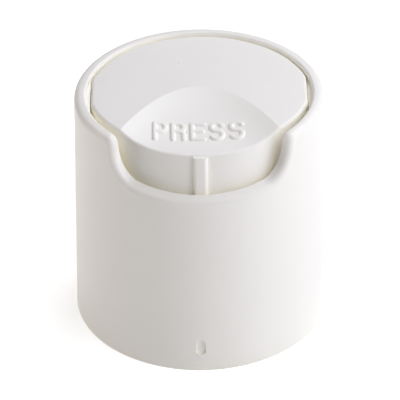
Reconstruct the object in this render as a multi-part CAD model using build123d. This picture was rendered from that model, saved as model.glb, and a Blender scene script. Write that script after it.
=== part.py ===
from build123d import *
import math
import os

# A disc top closure for a small bottle, in millimetres, standing on its open end.
# The origin is the centre of the base, +Z is up, the finger notch faces -Y and the spout faces +Y.
# The disc tips about a line along X: its near side goes down and its far side comes up.

# Press disc
disc_radius = 12.2
flat_cut = 0.45
near_setback = 1.6
near_foot_setback = 0.3
plate = 1.2
pivot_depth = 2.4
near_drop = 3.78
far_drop = 2.0
far_draft = 0.15
skirt_step = 1.35
skirt_wall = 0.9
flat_wall = 1.3
disc_edge_round = 0.3
tilt_angle = 22

# Finger dish in the disc
dish_depth = 1.0
dish_apex = 1.5
dish_curve = 0.118
dish_points = 13
dish_edge_round = 0.35

# Rib down the near side of the disc
rib_width = 1.55
rib_proud = 0.45
rib_top_gap = 0.1
rib_foot_gap = 0.75
rib_round = 0.4

# Trunnions
trunnion_radius = 1.1
trunnion_bite = 0.5
trunnion_chamfer = 0.2
trunnion_clearance = 0.05
trunnion_end_gap = 0.15

# Spout duct and sealing drum of the disc
duct_width = 4.4
duct_height = 2.1
duct_wall = 0.9
drum_radius = 6.6
drum_skin = 1.1
drum_near = 5.2
drum_far = 2.6
port_radius = 1.0
seal_gap = 0.1

# Neck thread
neck_radius = 12.1
thread_depth = 1.1
thread_pitch = 3.175
thread_turns = 1.5
thread_start = 2.6
thread_root_width = 1.7
thread_crest_width = 0.7
lead_in_radius = 12.35
lead_in_depth = 1.6
neck_depth = 15.25

# Walls of the body
sleeve_wall = 0.7
shell_gap = 0.6
shell_wall = 0.85
sleeve_draft = 0.1
rib_count = 12
core_rib_width = 0.8
core_rib_recess = 1.2
sleeve_recess = 0.3
deck = 1.2
base_round = 0.2

# Well that the disc sits in
swing_clearance = 0.1
flat_clearance = 0.06
stop_gap = 0.2
rim_wall = 1.3
rim_proud = 0.3
rim_round = 0.68
rim_inner_round = 0.28
pad_drop = 0.7
pad_rise = 0.3
pad_round = 0.15

# Finger notch in the rim
notch_depth = 5.1
notch_angle = 45.0
notch_foot_angle = 40.9
notch_flare = 0.6
notch_foot_rise = 0.15
notch_corner = 3.1
notch_sag_radius = 14.0
notch_top_round = 1.0
lip_slope = 0.25

# Boss with the orifice
boss_width = 7.6
boss_length = 7.2
orifice_radius = 1.0

# Plug that seals the bottle's mouth
plug_radius = 8.4
plug_wall = 0.8
plug_depth = 2.4
plug_taper = 0.25

# Shallow mark low on the front of the shell
mark_width = 1.1
mark_height = 1.9
mark_sink = 0.22
mark_level = 3.1
mark_offset = -0.25

# Levels and radii that follow from the sizes above
tilt = math.radians(tilt_angle)
disc_flat = disc_radius - flat_cut
near_reach = disc_radius - near_setback
foot_reach = disc_radius - near_foot_setback
well_radius = disc_radius + swing_clearance
shoulder_radius = well_radius + rim_wall
sleeve_radius = neck_radius + sleeve_wall
core_radius = sleeve_radius + shell_gap
base_radius = core_radius + shell_wall
deck_top = neck_depth + deck
pivot_level = deck_top + near_drop * math.cos(tilt) + foot_reach * math.sin(tilt) + stop_gap
disc_top = pivot_level + pivot_depth
cap_height = disc_top + rim_proud
near_level = pivot_level - near_drop
far_level = pivot_level - far_drop
core_level = neck_depth - shell_gap
notch_half = well_radius * math.sin(math.radians(notch_angle))
notch_foot_half = well_radius * math.sin(math.radians(notch_foot_angle))
notch_start = well_radius * math.cos(math.radians(notch_angle))
pad_flat = disc_flat + flat_clearance
pad_level = cap_height - pad_drop
trunnion_reach = well_radius + trunnion_bite
duct_roof = disc_top - plate
duct_floor = duct_roof - duct_height
half_duct = duct_width / 2 + duct_wall

# How far a cutting shape runs past what it cuts, and how near a point counts as on a surface
beyond = 2.0
touch = 0.01


def solid_of(shape):
    """Return the largest solid of a shape that a cut or a fuse has made."""
    return max(shape.solids(), key=lambda solid: solid.volume)


def turned(points):
    """Turn a closed outline of radius and level points about the upright axis."""
    outline = Polyline(*[(radius, 0, level) for radius, level in points], close=True)
    return revolve(make_face(outline), Axis.Z)


def upright(radius, low, high):
    """Return an upright cylinder between two levels."""
    return Pos(0, 0, (low + high) / 2) * Cylinder(radius, high - low)


def block(x_range, y_range, z_range):
    """Return a box between the limits given along each axis."""
    size = [abs(high - low) for low, high in (x_range, y_range, z_range)]
    middle = [(high + low) / 2 for low, high in (x_range, y_range, z_range)]
    return Pos(*middle) * Box(*size)


def crosswise(radius, half_length):
    """Return a cylinder along X on the tilt axis."""
    return Pos(0, 0, pivot_level) * Rot(0, 90, 0) * Cylinder(radius, 2 * half_length)


def wall_radius(level):
    """Return the radius of the drafted outer wall at a level."""
    return base_radius + (shoulder_radius - base_radius) * level / cap_height


def far_radius(level):
    """Return the radius of the disc's far side at a level, drafted so that its lower edge swings clear."""
    return disc_radius - far_draft * (disc_top - level) / (pivot_depth + far_drop)


def near_shift(level):
    """Return how far the disc's near side is set back at a level: it leans out towards its foot."""
    lean = (near_setback - near_foot_setback) / (pivot_depth + near_drop)
    return near_foot_setback + lean * (level - near_level)


def leaning(plan, low, high):
    """Extrude a plan, drawn for the disc's axis, between two levels so that it follows the near side's lean."""
    rise = Vector(0, near_shift(high) - near_shift(low), high - low)
    return extrude(Pos(0, near_shift(low), low) * plan, amount=rise.length, dir=rise)


def disc_outline(inset_round, inset_flat, low, high):
    """Return the plan of the disc between two levels, drawn in by the insets given."""
    far = turned([(0, low), (far_radius(low) - inset_round, low), (far_radius(high) - inset_round, high),
                  (0, high)])
    near = leaning(Circle(disc_radius - inset_round), low, high)
    half = disc_flat - inset_flat
    reach = 2 * disc_radius
    far_half = far & block((-half, half), (0, reach), (low, high))
    near_half = near & block((-half, half), (-reach, 0), (low, high))
    return solid_of(far_half + near_half)


def on_disc_side(point):
    """Tell whether a point lies on the side wall of the disc."""
    far_gap = abs(math.hypot(point.X, point.Y) - disc_radius)
    near_gap = abs(math.hypot(point.X, point.Y - near_shift(point.Z)) - disc_radius)
    flat_gap = abs(abs(point.X) - disc_flat)
    return min(far_gap, near_gap, flat_gap) < touch


def dish_cutter():
    """Return the space of the finger dish: a bowl that is deepest at the near edge of the disc."""
    reach = dish_apex + near_reach
    low_y = -disc_radius - beyond
    high_y = dish_apex + beyond
    rows = []
    for i in range(dish_points):
        x = disc_radius * (2 * i / (dish_points - 1) - 1)
        row = []
        for j in range(dish_points):
            y = low_y + (high_y - low_y) * j / (dish_points - 1)
            inside = (dish_apex - y - dish_curve * x * x) / reach
            depth = dish_depth * (1 - (1 - inside) ** 2)
            row.append((x, y, disc_top - depth))
        rows.append(row)
    floor = Face.make_surface_from_array_of_points(rows, tol=1e-4, min_deg=3, max_deg=5)
    return extrude(floor, amount=pivot_depth + near_drop, dir=(0, 0, 1))


def disc_shell():
    """Return the plate and skirt of the disc, dished, rounded and hollow below."""
    dish = dish_cutter()
    side = 2 * disc_radius
    below = near_level - beyond
    shell = solid_of(disc_outline(0, 0, near_level, disc_top) - dish)

    creases = [edge for edge in shell.edges()
               if edge.geom_type == GeomType.BSPLINE and abs((edge @ 0.5).Z - disc_top) < touch]
    shell = shell.fillet(dish_edge_round, creases)
    lowest = disc_top - dish_depth - dish_edge_round
    rim_edges = [edge for edge in shell.edges()
                 if (edge @ 0.5).Z > lowest and on_disc_side(edge @ 0.5)
                 and abs((edge @ 0).Z - (edge @ 1).Z) < dish_edge_round]
    shell = shell.fillet(disc_edge_round, rim_edges)

    shell -= block((-side, side), (-skirt_step, side), (below, far_level))
    hollow = disc_outline(skirt_wall, flat_wall, below, duct_roof)
    hollow -= Pos(0, 0, -plate) * dish
    return solid_of(shell - hollow)


def spout(shell):
    """Return the shell of the disc with its spout duct, sealing drum, passage and port."""
    side = 2 * disc_radius
    below = pivot_level - drum_radius - beyond
    duct = block((-half_duct, half_duct), (-drum_near, side), (duct_floor - duct_wall, duct_roof))
    duct &= disc_outline(0, 0, near_level, disc_top)

    drum = crosswise(drum_radius, half_duct)
    drum &= block((-half_duct, half_duct), (-drum_near, drum_far), (below, pivot_level))
    relief = crosswise(drum_radius - drum_skin, half_duct + beyond)
    relief &= block((-side, side), (-drum_near + drum_skin, drum_far - drum_skin),
                    (below, duct_floor - duct_wall))
    relief -= block((-port_radius - duct_wall, port_radius + duct_wall), (-side, side), (below, pivot_level))
    body = solid_of(shell + duct + (drum - relief))

    passage = block((-duct_width / 2, duct_width / 2), (-port_radius - duct_wall, side),
                    (duct_floor, duct_roof))
    port = Pos(0, 0, pivot_level) * Rot(-tilt_angle, 0, 0) * Pos(0, 0, -drum_radius) * Cylinder(
        port_radius, 2 * drum_radius)
    port &= block((-side, side), (-side, side), (below, duct_floor + duct_height / 2))
    return body - passage - port


def near_rib():
    """Return the upright rib on the near side of the disc."""
    depth = rib_proud + skirt_wall / 2
    plan = Pos(0, depth / 2 - disc_radius - rib_proud, 0) * Rectangle(rib_width, depth)
    rib = leaning(plan, near_level + rib_foot_gap, disc_top - dish_depth - rib_top_gap)
    uprights = [edge for edge in rib.edges() if abs((edge @ 0).Z - (edge @ 1).Z) > rib_width]
    return fillet(ShapeList(uprights).sort_by(Axis.Y)[:2], rib_round)


def trunnions():
    """Return the two short pins that the disc turns on."""
    pins = crosswise(trunnion_radius, trunnion_reach)
    pins = chamfer(pins.edges(), trunnion_chamfer)
    return pins - crosswise(trunnion_radius + beyond, disc_flat - flat_wall / 2)


def make_disc():
    """Return the press disc: plate, skirt, rib, trunnions, spout duct and sealing drum in one piece."""
    return solid_of(spout(disc_shell()) + near_rib() + trunnions())


def notch_profile(y):
    """Return the face of the finger notch at a distance y in front of the axis."""
    middle = cap_height - notch_depth - lip_slope * (y - well_radius)
    foot = middle + notch_foot_rise
    rim_half = notch_half + notch_flare * (y - notch_start)
    lean = (notch_half - notch_foot_half) / notch_depth
    foot_half = rim_half - lean * (cap_height - foot)
    top_half = rim_half + lean * beyond
    top = cap_height + beyond
    points = [(-top_half, top), (-foot_half, foot), (0, middle), (foot_half, foot), (top_half, top)]
    bottom = FilletPolyline(*points, radius=[notch_corner, notch_sag_radius, notch_corner])
    lid = Line(points[-1], points[0])
    return Plane(origin=(0, -y, 0), x_dir=(1, 0, 0), z_dir=(0, -1, 0)) * make_face(bottom + lid)


def on_outer_wall(point):
    """Tell whether a point lies on the drafted outer wall."""
    return abs(math.hypot(point.X, point.Y) - wall_radius(point.Z)) < touch


def on_well_wall(point):
    """Tell whether a point lies on the wall of the well, between its pads."""
    return abs(math.hypot(point.X, point.Y) - well_radius) < touch and abs(point.X) < pad_flat - touch


def pad(side):
    """Return the shape behind one flat of the well, with a top that slopes down towards the disc."""
    slope = pad_rise / (well_radius - pad_flat)
    far = 2 * well_radius
    low = deck_top - beyond
    outline = Polyline((side * pad_flat, low), (side * far, low),
                       (side * far, pad_level + slope * (far - pad_flat)), (side * pad_flat, pad_level), close=True)
    return extrude(Plane.XZ * make_face(outline), amount=well_radius, both=True)


def well():
    """Return the space of the well: round at the rim, and flat below it at the pads that carry the disc."""
    round_part = upright(well_radius, deck_top, cap_height + beyond)
    return round_part - [pad(-1), pad(1)]


def rounded_rim():
    """Return the outside of the body as a solid, with its well and notch cut and its edges rounded."""
    outside = turned([(0, 0), (base_radius, 0), (shoulder_radius, cap_height), (0, cap_height)])
    outside -= well()
    cutter = loft([notch_profile(notch_start - beyond), notch_profile(shoulder_radius + beyond)], ruled=True)
    outside = solid_of(outside - cutter)

    corners = [edge for edge in outside.edges()
               if abs((edge @ 0.5).Z - cap_height) < touch and edge.length < 2 * rim_wall]
    outside = outside.fillet(notch_top_round, corners)
    outer = [edge for edge in outside.edges() if on_outer_wall(edge @ 0.5) and (edge @ 0.5).Z > deck_top]
    outside = outside.fillet(rim_round, outer)
    inner = [edge for edge in outside.edges() if on_well_wall(edge @ 0.5) and (edge @ 0.5).Z > near_level]
    outside = outside.fillet(rim_inner_round, inner)
    pads = [edge for edge in outside.edges()
            if abs(abs((edge @ 0.5).X) - pad_flat) < touch and abs((edge @ 0.5).Z - pad_level) < touch]
    outside = outside.fillet(pad_round, pads)
    base_edge = [edge for edge in outside.edges().filter_by(GeomType.CIRCLE) if (edge @ 0.5).Z < touch]
    return outside.fillet(base_round, base_edge)


def mouth():
    """Return the space for the bottle's neck, with the wider lead-in and the recessed sleeve end."""
    neck = upright(neck_radius, -beyond, neck_depth)
    lead_in = upright(lead_in_radius, -beyond, lead_in_depth)
    sleeve_end = turned([(0, -beyond), (core_radius, -beyond), (core_radius, 0),
                         (sleeve_radius, sleeve_recess), (0, sleeve_recess)])
    return neck + lead_in + sleeve_end


def core():
    """Return the narrow space between the shell and the threaded sleeve, with gaps left for its ribs."""
    space = turned([(0, -beyond), (core_radius, -beyond), (core_radius, 0),
                    (wall_radius(core_level) - shell_wall, core_level), (0, core_level)])
    space -= turned([(0, -2 * beyond), (sleeve_radius, -2 * beyond), (sleeve_radius, 0),
                     (sleeve_radius - sleeve_draft, core_level), (0, core_level + beyond)])
    for i in range(rib_count):
        space -= Rot(0, 0, 360 * (i + 0.5) / rib_count) * block(
            (sleeve_radius - sleeve_wall, core_radius + shell_wall / 2),
            (-core_rib_width / 2, core_rib_width / 2), (core_rib_recess, neck_depth))
    return space


def plug():
    """Return the tapered ring that seals the bottle's mouth."""
    root = neck_depth + deck / 2
    end = neck_depth - plug_depth
    inner = plug_radius - plug_wall
    return turned([(inner, root), (plug_radius, root), (plug_radius, neck_depth - plug_depth / 2),
                   (plug_radius - plug_taper, end), (inner + plug_taper / 2, end)])


def boss():
    """Return the boss on the deck, hollowed to seat the sealing drum."""
    seat = block((-boss_width / 2, boss_width / 2), (-boss_length / 2, boss_length / 2),
                 (deck_top - deck / 2, pivot_level))
    return seat - crosswise(drum_radius + seal_gap, boss_width)


def thread():
    """Return the ridge of the neck thread, rooted a little way into the sleeve."""
    root = neck_radius + sleeve_wall / 2
    crest = neck_radius - thread_depth
    rise = thread_pitch * thread_turns
    path = Pos(0, 0, thread_start) * Helix(pitch=thread_pitch, height=rise, radius=root)
    section = Plane(origin=path @ 0, x_dir=(-1, 0, 0), z_dir=path % 0) * make_face(
        Polyline((0, -thread_root_width / 2), (root - crest, -thread_crest_width / 2),
                 (root - crest, thread_crest_width / 2), (0, thread_root_width / 2), close=True))
    ridge = sweep(section, path=path, is_frenet=True)
    return ridge & upright(sleeve_radius - sleeve_wall / 3, 0, neck_depth)


def sockets():
    """Return the blind holes in the wall of the well that take the trunnions."""
    holes = crosswise(trunnion_radius + trunnion_clearance, trunnion_reach + trunnion_end_gap)
    return holes - crosswise(trunnion_radius + beyond, well_radius - rim_wall)


def capsule_mark():
    """Return the shallow upright capsule that is sunk low in the front of the shell."""
    floor = wall_radius(mark_level) - mark_sink
    slot = Plane(origin=(mark_offset, -floor, mark_level), x_dir=(1, 0, 0), z_dir=(0, -1, 0)) * (
        SlotOverall(mark_height, mark_width, rotation=90))
    return extrude(slot, amount=beyond)


def make_body():
    """Return the closure's body: shell, threaded sleeve, deck, boss and plug in one piece."""
    body = rounded_rim() - mouth() - core()
    body = body + plug() + boss() + thread()
    body -= upright(orifice_radius, neck_depth - beyond, pivot_level)
    return solid_of(body - sockets() - capsule_mark())


def write(shape, node):
    """Write one sub-part to its file."""
    export_step(shape, os.path.join("parts", node + ".step"))


os.makedirs("parts", exist_ok=True)
write(make_body(), "cap_body")
write(make_disc(), "disc")
print("height", round(cap_height, 3), "pivot level", round(pivot_level, 3), "disc top", round(disc_top, 3))
print("base radius", round(base_radius, 3), "shoulder radius", round(shoulder_radius, 3))
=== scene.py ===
import math

import bpy
import numpy as np
from mathutils import Matrix, Vector
from mathutils.bvhtree import BVHTree


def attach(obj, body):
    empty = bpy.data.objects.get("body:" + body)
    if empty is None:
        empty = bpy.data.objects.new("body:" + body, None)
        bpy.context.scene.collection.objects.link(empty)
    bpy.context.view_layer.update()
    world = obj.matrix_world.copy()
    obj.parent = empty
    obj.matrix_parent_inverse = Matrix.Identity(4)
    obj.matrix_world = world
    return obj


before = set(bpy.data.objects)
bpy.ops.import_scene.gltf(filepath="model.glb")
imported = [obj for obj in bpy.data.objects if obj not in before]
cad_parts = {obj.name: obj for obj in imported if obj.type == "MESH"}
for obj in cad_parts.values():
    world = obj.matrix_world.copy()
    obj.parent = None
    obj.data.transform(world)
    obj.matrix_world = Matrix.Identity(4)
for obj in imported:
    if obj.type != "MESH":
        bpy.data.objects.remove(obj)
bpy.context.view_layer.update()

# Looks of a white disc top cap: moulded plastic, raised lettering in the dish, floor, lights and camera.
# Sizes are in millimetres and are turned into metres by MM. The frame is the cap's own:
# the origin is the centre of its base, +Z is up, and the finger notch faces -Y.
MM = 0.001

# Camera, as the photograph's outlines give it: it turns about a point on the cap's axis
camera_aim_level = 13.65
camera_elevation = 34.162
camera_roll = -0.894
camera_distance = 320.0
camera_right = -0.0852
camera_up = -0.5199
focal_pixels = 2876.3
photo_pixels = 400
sensor_width = 36.0
camera_clip_near = 10.0
camera_clip_far = 10000.0

# Plastic, as linear colours; the nooks between close walls take a warmer tone, painted light that stands
# in for light shining through the thin walls and bouncing between them
body_white = (0.97, 0.95, 0.90)
disc_white = (0.97, 0.95, 0.905)
painted_glow_tone = (0.99, 0.967, 0.87)
painted_glow_reach = 1.4
painted_glow_samples = 8
plastic_ior = 1.49
plastic_specular = 0.45

# Range of the faint mottling, as a factor on the colour, and of the uneven gloss, as roughness
mottle_low = 0.975
mottle_high = 1.02
gloss_low = 0.34
gloss_high = 0.44

# Noise of the mottling, the gloss, the orange peel, the broad waves and the level flow lines:
# scale, detail, roughness
mottle_noise = (160.0, 3.0, 0.55)
gloss_noise = (420.0, 4.0, 0.6)
peel_noise = (5200.0, 2.0, 0.5)
wave_noise = (300.0, 2.0, 0.5)
flow_noise = (1.0, 2.0, 0.5)
flow_stretch = (25.0, 25.0, 2400.0)

# Bumps: strength, height
peel_bump = (0.25, 0.004)
wave_bump = (0.5, 0.03)
flow_bump = (0.5, 0.03)

# Bounces of light between the white walls
light_bounces = 16

# Lettering in the dish
word = "PRESS"
letter_lefts = (-5.02, -3.09, -1.03, 1.02, 3.11)
letter_widths = (1.55, 1.58, 1.68, 1.62, 1.65)
letter_top = -4.85
letter_bottom = -7.98
stroke_flat = 0.10
stroke_reach = 0.42
letter_rise = 0.22
letter_sink = 0.03
letter_foot = 0.25
letter_cell = 0.05
shortest_piece = 0.005
level_above_cap = 50.0

# Mark of the mould's gate on the disc
gate_place = (-2.15, 6.4, 27.01)
gate_radius = 0.2
gate_rise = 0.1
gate_segments = 24
gate_rings = 12

# Floor; its lift is the light that it sends to the camera and into reflections by itself
floor_size = 3000.0
floor_colour = (0.86, 0.86, 0.855)
floor_roughness = 0.9
floor_specular = 0.1
floor_lift = 0.6

# Softboxes round the cap
cool_light = (0.935, 0.942, 1.0)
warm_light = (1.0, 0.941, 0.897)
softbox_distance = 230.0
softbox_size = 140.0
softbox_lowest = 75.0
softbox_aim_level = 14.0

# Each softbox: azimuth from the camera's side towards the right, elevation, power in watts, colour
softboxes = {
    "key_high": (45, 48, 0.181, cool_light),
    "key_side": (60, 12, 0.127, cool_light),
    "side_high": (90, 48, 0.130, cool_light),
    "fill_left": (-90, 12, 0.183, warm_light),
    "rim_left": (-120, 12, 0.022, warm_light),
    "front_low": (0, 12, 0.05, warm_light),
    "back_high": (150, 48, 0.235, cool_light),
}


def add_node(tree, kind, place, **values):
    """Add a node, setting its properties or sockets by name."""
    node = tree.nodes.new(kind)
    node.location = place
    for name, value in values.items():
        if hasattr(node, name):
            setattr(node, name, value)
        else:
            node.inputs[name.replace("_", " ")].default_value = value
    return node


def add_noise(tree, place, vector, setting):
    """Add a noise texture read at the given vector, and return its grey value."""
    scale, detail, roughness = setting
    node = add_node(tree, "ShaderNodeTexNoise", place, Scale=scale, Detail=detail, Roughness=roughness)
    tree.links.new(vector, node.inputs["Vector"])
    return node.outputs["Fac"]


def add_bump(tree, place, height, setting, under=None):
    """Add a bump, on top of another one if given, and return its normal."""
    strength, distance = setting
    node = add_node(tree, "ShaderNodeBump", place, Strength=strength, Distance=distance * MM)
    tree.links.new(height, node.inputs["Height"])
    if under is not None:
        tree.links.new(under, node.inputs["Normal"])
    return node.outputs["Normal"]


def grey_ramp(tree, place, source, low, high):
    """Map a 0 to 1 value to the range between low and high."""
    node = add_node(tree, "ShaderNodeMapRange", place)
    node.inputs["To Min"].default_value = low
    node.inputs["To Max"].default_value = high
    tree.links.new(source, node.inputs["Value"])
    return node.outputs["Result"]


def moulded_plastic(name, colour):
    """Make satin moulded polypropylene, with faint mottling, uneven gloss, orange peel, flow lines and a
    warm painted glow in its nooks.
    """
    material = bpy.data.materials.new(name)
    material.use_nodes = True
    tree = material.node_tree
    shader = tree.nodes["Principled BSDF"]
    shader.inputs["Base Color"].default_value = (*colour, 1)
    shader.inputs["Specular IOR Level"].default_value = plastic_specular
    shader.inputs["IOR"].default_value = plastic_ior
    place = add_node(tree, "ShaderNodeTexCoord", (-1200, 0)).outputs["Object"]

    mottle = add_noise(tree, (-900, 200), place, mottle_noise)
    shade = grey_ramp(tree, (-650, 200), mottle, mottle_low, mottle_high)
    # Painted light: an occlusion mask warms the colour in the nooks, standing in for light that shines
    # through the thin plastic
    glow_mask = add_node(tree, "ShaderNodeAmbientOcclusion", (-900, 450),
                    samples=painted_glow_samples, Distance=painted_glow_reach * MM)
    glow_mix = add_node(tree, "ShaderNodeMix", (-600, 450), data_type="RGBA")
    glow_mix.inputs["A"].default_value = (*painted_glow_tone, 1)
    glow_mix.inputs["B"].default_value = (*colour, 1)
    tree.links.new(glow_mask.outputs["AO"], glow_mix.inputs["Factor"])
    tint = add_node(tree, "ShaderNodeVectorMath", (-350, 250), operation="SCALE")
    tree.links.new(glow_mix.outputs["Result"], tint.inputs[0])
    tree.links.new(shade, tint.inputs["Scale"])
    tree.links.new(tint.outputs["Vector"], shader.inputs["Base Color"])

    smears = add_noise(tree, (-900, -50), place, gloss_noise)
    tree.links.new(grey_ramp(tree, (-650, -50), smears, gloss_low, gloss_high), shader.inputs["Roughness"])

    peel = add_noise(tree, (-900, -300), place, peel_noise)
    waves = add_noise(tree, (-900, -500), place, wave_noise)
    level = add_node(tree, "ShaderNodeMapping", (-1000, -700), Scale=flow_stretch)
    tree.links.new(place, level.inputs["Vector"])
    lines = add_noise(tree, (-800, -700), level.outputs["Vector"], flow_noise)
    fine = add_bump(tree, (-600, -300), peel, peel_bump)
    broad = add_bump(tree, (-350, -400), waves, wave_bump, fine)
    tree.links.new(add_bump(tree, (-150, -500), lines, flow_bump, broad), shader.inputs["Normal"])
    return material


def smooth(mesh):
    """Shade every face of a mesh smooth."""
    mesh.polygons.foreach_set("use_smooth", [True] * len(mesh.polygons))


def dress(node, material):
    """Give a node of the frame its material in every slot."""
    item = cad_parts[node]
    item.data.materials.clear()
    item.data.materials.append(material)


def arc(centre, radii, start, stop, steps=14):
    """Return points along an elliptical arc, with its angles in degrees."""
    points = []
    for i in range(steps + 1):
        angle = math.radians(start + (stop - start) * i / steps)
        points.append((centre[0] + radii[0] * math.cos(angle), centre[1] + radii[1] * math.sin(angle)))
    return points


def letter_strokes(letter):
    """Return the strokes of a capital in a box one wide and one high."""
    stem = [(0, 0), (0, 1)]
    bowl = [(0, 1)] + arc((0.55, 0.75), (0.45, 0.25), 90, -90) + [(0, 0.5)]
    shapes = {
        "P": [stem, bowl],
        "R": [stem, bowl, [(0.6, 0.5)] + arc((0.6, 0.3), (0.4, 0.2), 90, 0, 6) + [(1, 0)]],
        "E": [stem, [(0, 1), (1, 1)], [(0, 0.52), (0.88, 0.52)], [(0, 0), (1, 0)]],
        "S": [arc((0.5, 0.76), (0.5, 0.24), 25, 270) + arc((0.5, 0.26), (0.5, 0.26), 90, -155)],
    }
    return shapes[letter]


def word_segments():
    """Return the start and end points of every straight piece of the word's strokes, in millimetres."""
    starts = []
    ends = []
    inset = stroke_reach / 2
    height = letter_top - letter_bottom - 2 * inset
    for letter, left, width in zip(word, letter_lefts, letter_widths):
        for stroke in letter_strokes(letter):
            points = [(left + inset + u * (width - 2 * inset), letter_bottom + inset + v * height)
                      for u, v in stroke]
            pieces = [(a, b) for a, b in zip(points, points[1:]) if math.dist(a, b) > shortest_piece]
            starts += [a for a, b in pieces]
            ends += [b for a, b in pieces]
    return np.array(starts), np.array(ends)


def stroke_distance(points, starts, ends):
    """Return how far each point lies from the nearest stroke."""
    nearest = np.full(len(points), np.inf)
    for start, end in zip(starts, ends):
        along = end - start
        share = np.clip((points - start) @ along / (along @ along), 0, 1)
        gap = np.linalg.norm(points - start - share[:, None] * along, axis=1)
        nearest = np.minimum(nearest, gap)
    return nearest


def lettering(material):
    """Build the raised word in the dish as closed, softly rounded letters that follow the dish's floor."""
    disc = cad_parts["disc"]
    surface = BVHTree.FromPolygons([v.co for v in disc.data.vertices],
                                   [tuple(p.vertices) for p in disc.data.polygons])
    margin = 2 * stroke_reach
    xs = np.arange(letter_lefts[0] - margin, letter_lefts[-1] + letter_widths[-1] + margin, letter_cell)
    ys = np.arange(letter_bottom - margin, letter_top + margin, letter_cell)
    grid_x, grid_y = np.meshgrid(xs, ys)
    points = np.column_stack([grid_x.ravel(), grid_y.ravel()])
    distance = stroke_distance(points, *word_segments())
    slope = np.clip((stroke_reach - distance) / (stroke_reach - stroke_flat), 0, 1)
    rise = letter_rise * slope * slope * (3 - 2 * slope) - letter_sink

    columns = len(xs)
    inside = (distance < stroke_reach + letter_cell).reshape(len(ys), columns)
    cells = inside[:-1, :-1] & inside[:-1, 1:] & inside[1:, :-1] & inside[1:, 1:]
    quads = []
    edge_use = {}
    for row, column in zip(*np.nonzero(cells)):
        first = int(row) * columns + int(column)
        quad = (first, first + 1, first + columns + 1, first + columns)
        quads.append(quad)
        for a, b in zip(quad, quad[1:] + quad[:1]):
            edge_use[(a, b)] = (b, a)
    rim = [edge for edge, back in edge_use.items() if back not in edge_use]

    used = sorted({corner for quad in quads for corner in quad})
    number = {corner: i for i, corner in enumerate(used)}
    tops = []
    feet = []
    for corner in used:
        x, y = points[corner] * MM
        hit = surface.ray_cast(Vector((x, y, level_above_cap * MM)), Vector((0, 0, -1)))[0]
        tops.append((x, y, hit.z + rise[corner] * MM))
        feet.append((x, y, hit.z - letter_foot * MM))
    count = len(used)
    faces = [tuple(number[c] for c in quad) for quad in quads]
    faces += [tuple(number[c] + count for c in reversed(quad)) for quad in quads]
    faces += [(number[b], number[a], number[a] + count, number[b] + count) for a, b in rim]

    mesh = bpy.data.meshes.new("press_lettering")
    mesh.from_pydata(tops + feet, [], faces)
    smooth(mesh)
    mesh.update()
    piece = bpy.data.objects.new("press_lettering", mesh)
    bpy.context.scene.collection.objects.link(piece)
    piece.data.materials.append(material)
    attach(piece, "disc")


def gate_mark(material):
    """Set the tiny mark where the plastic entered the mould on top of the disc."""
    x, y, level = (value * MM for value in gate_place)
    bpy.ops.mesh.primitive_uv_sphere_add(segments=gate_segments, ring_count=gate_rings,
                                         radius=gate_radius * MM, location=(x, y, level))
    mark = bpy.context.object
    mark.name = "gate_mark"
    mark.scale = (1, 1, gate_rise / gate_radius)
    smooth(mark.data)
    mark.data.materials.append(material)
    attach(mark, "disc")


def seen_directly(tree):
    """Return 1 for rays from the camera, in reflections and through clear material, and 0 for the rest."""
    path = add_node(tree, "ShaderNodeLightPath", (-900, 0))
    mirrored = add_node(tree, "ShaderNodeMath", (-700, 0), operation="MAXIMUM")
    seen = add_node(tree, "ShaderNodeMath", (-500, 0), operation="MAXIMUM")
    tree.links.new(path.outputs["Is Camera Ray"], mirrored.inputs[0])
    tree.links.new(path.outputs["Is Glossy Ray"], mirrored.inputs[1])
    tree.links.new(mirrored.outputs["Value"], seen.inputs[0])
    tree.links.new(path.outputs["Is Transmission Ray"], seen.inputs[1])
    return seen.outputs["Value"]


def pale_floor():
    """Lay the floor: near white to the camera, and it keeps the cap's soft shadow."""
    mesh = bpy.data.meshes.new("floor")
    half = floor_size * MM / 2
    corners = [(-half, -half, 0), (half, -half, 0), (half, half, 0), (-half, half, 0)]
    mesh.from_pydata(corners, [], [(0, 1, 2, 3)])
    floor = bpy.data.objects.new("floor", mesh)
    bpy.context.scene.collection.objects.link(floor)
    material = bpy.data.materials.new("floor_paper")
    material.use_nodes = True
    tree = material.node_tree
    shader = tree.nodes["Principled BSDF"]
    shader.inputs["Base Color"].default_value = (*floor_colour, 1)
    shader.inputs["Roughness"].default_value = floor_roughness
    shader.inputs["Specular IOR Level"].default_value = floor_specular
    shader.inputs["Emission Color"].default_value = (1, 1, 1, 1)
    lift = add_node(tree, "ShaderNodeMath", (-300, 0), operation="MULTIPLY")
    lift.inputs[1].default_value = floor_lift
    tree.links.new(seen_directly(tree), lift.inputs[0])
    tree.links.new(lift.outputs["Value"], shader.inputs["Emission Strength"])
    floor.data.materials.append(material)


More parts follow.
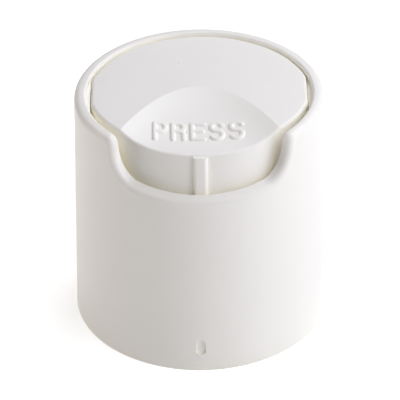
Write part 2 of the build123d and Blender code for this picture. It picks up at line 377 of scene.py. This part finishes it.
def studio_world():
    """Show white behind the cap and in its reflections; all the light comes from the softboxes."""
    world = bpy.data.worlds.new("studio")
    bpy.context.scene.world = world
    world.use_nodes = True
    tree = world.node_tree
    tree.links.new(seen_directly(tree), tree.nodes["Background"].inputs["Strength"])


def softbox(name, azimuth, elevation, power, colour):
    """Hang one square softbox on a sphere round the cap, facing it."""
    light = bpy.data.lights.new(name, "AREA")
    light.size = softbox_size * MM
    light.energy = power
    light.color = colour
    item = bpy.data.objects.new(name, light)
    bpy.context.scene.collection.objects.link(item)
    turn = math.radians(azimuth)
    tip = math.radians(elevation)
    aim = Vector((0, 0, softbox_aim_level))
    towards = Vector((math.sin(turn) * math.cos(tip), -math.cos(turn) * math.cos(tip), math.sin(tip)))
    place = aim + softbox_distance * towards
    place.z = max(place.z, softbox_lowest)
    item.location = place * MM
    item.rotation_mode = "QUATERNION"
    item.rotation_quaternion = (aim - place).to_track_quat("-Z", "Y")


def photo_camera():
    """Stand the camera where the photograph was taken from."""
    tip = math.radians(camera_elevation)
    roll = math.radians(camera_roll)
    back = Vector((0, -math.cos(tip), math.sin(tip)))
    level = Vector((1, 0, 0))
    rise = back.cross(level)
    right = math.cos(roll) * level + math.sin(roll) * rise
    up = back.cross(right)
    aim = Vector((0, 0, camera_aim_level))
    place = aim + camera_right * right + camera_up * up + camera_distance * back
    data = bpy.data.cameras.new("photo_camera")
    data.sensor_width = sensor_width
    data.lens = sensor_width * focal_pixels / photo_pixels
    data.clip_start = camera_clip_near * MM
    data.clip_end = camera_clip_far * MM
    camera = bpy.data.objects.new("photo_camera", data)
    bpy.context.scene.collection.objects.link(camera)
    turn = Matrix((right, up, back)).transposed().to_4x4()
    camera.matrix_world = Matrix.Translation(place * MM) @ turn
    bpy.context.scene.camera = camera


photo_camera()
body_plastic = moulded_plastic("body_plastic", body_white)
disc_plastic = moulded_plastic("disc_plastic", disc_white)
dress("cap_body", body_plastic)
dress("disc", disc_plastic)
lettering(disc_plastic)
gate_mark(disc_plastic)
pale_floor()
studio_world()
for name, setting in softboxes.items():
    softbox(name, *setting)
bpy.context.scene.view_settings.view_transform = "Standard"
bpy.context.scene.cycles.max_bounces = light_bounces
bpy.context.scene.cycles.diffuse_bounces = light_bounces
